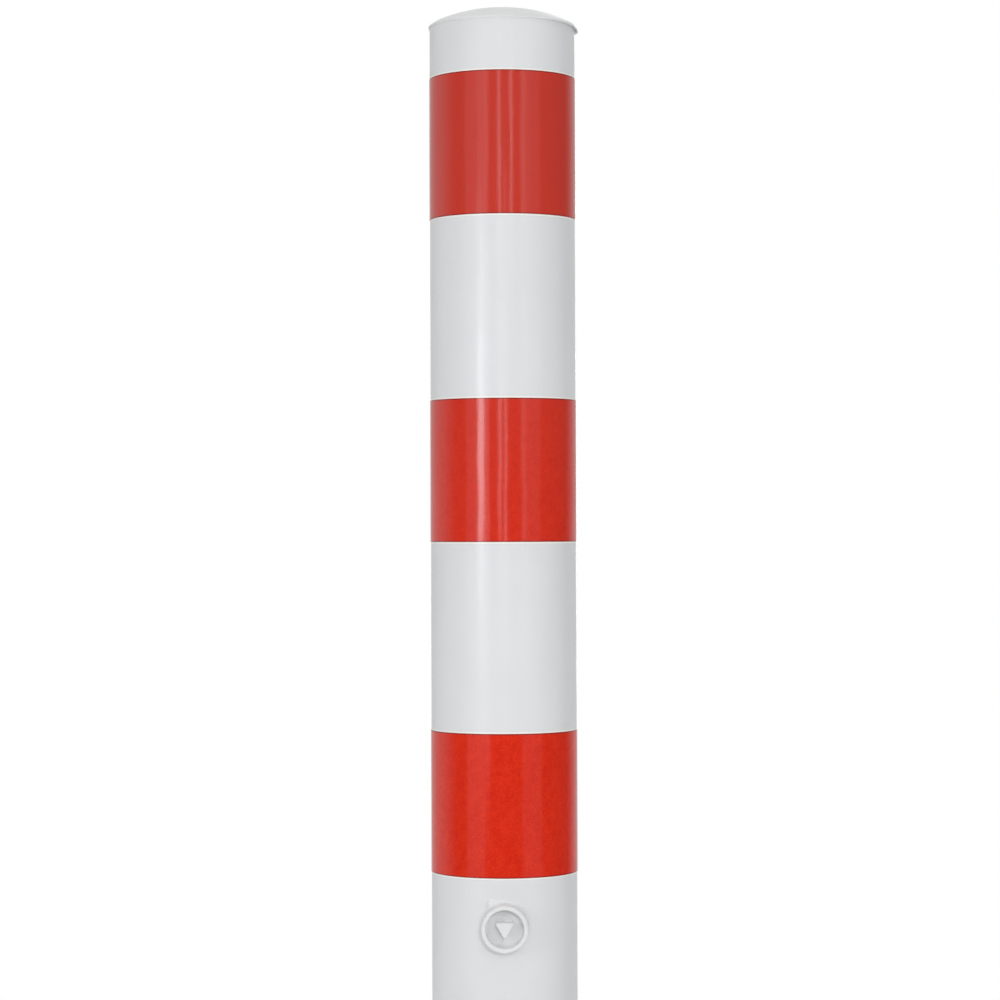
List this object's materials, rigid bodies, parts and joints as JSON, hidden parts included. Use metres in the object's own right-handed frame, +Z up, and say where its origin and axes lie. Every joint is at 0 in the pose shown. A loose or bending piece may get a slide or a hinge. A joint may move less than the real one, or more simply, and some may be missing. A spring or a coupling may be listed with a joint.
{
  "type": "removable bollard",
  "caption": "Round white steel bollard with red reflective bands, a domed cap and a triangular key lock, lifted out of a square ground sleeve.",
  "frame": {"origin": "on the post's axis at ground level, which is the rim of the ground sleeve", "axes": "+Z up along the post, -Y towards the lock collar, +X to the right seen from the lock"},
  "size_m": [0.1048, 0.1212, 1.3],
  "materials": {
    "white_paint": "gloss powder coat",
    "red_film": "glossy retroreflective film",
    "raw_steel": "brown mill scale",
    "plated_steel": "zinc plated",
    "brass": "turned"
  },
  "bodies": {
    "sleeve": {"ground_sleeve": "raw_steel"},
    "post": {"post_tube": "white_paint", "post_cap": "white_paint", "base_plate": "white_paint", "spigot": "white_paint", "band_upper": "red_film", "band_middle": "red_film", "band_lower": "red_film", "lock_collar": "white_paint", "collar_weld": "white_paint", "spindle_bush": "white_paint", "bar_guide_upper": "plated_steel", "bar_guide_lower": "plated_steel", "bolt_guide": "plated_steel"},
    "spindle": {"lock_spindle": "white_paint", "crank_plate": "plated_steel", "crank_screw": "plated_steel", "crank_pin": "plated_steel", "thrust_washer": "brass"},
    "bar": {"locking_bar": "plated_steel", "cam_plate": "plated_steel"},
    "bolt": {"latch_bolt": "plated_steel", "cross_pin": "plated_steel"}
  },
  "joints": [
    {"name": "lift_out", "type": "slide", "parent": "sleeve", "child": "post", "axis": [0, 0, 1], "range_m": [0, 0.34]},
    {"name": "key_turn", "type": "hinge", "parent": "post", "child": "spindle", "pos_m": [0, -0.05, 0.264], "axis": [0, 1, 0], "range_deg": [0, 90]},
    {"name": "bar_travel", "type": "slide", "parent": "post", "child": "bar", "axis": [0, 0, 1], "range_m": [0, 0.01697]},
    {"name": "bolt_throw", "type": "slide", "parent": "post", "child": "bolt", "axis": [0, -1, 0], "range_m": [0, 0.006]}
  ],
  "couplings": [
    {"joint": "key_turn", "follows": "bar_travel", "rad_per_m": 92.55},
    {"joint": "bolt_throw", "follows": "bar_travel", "ratio": 0.3535}
  ]
}
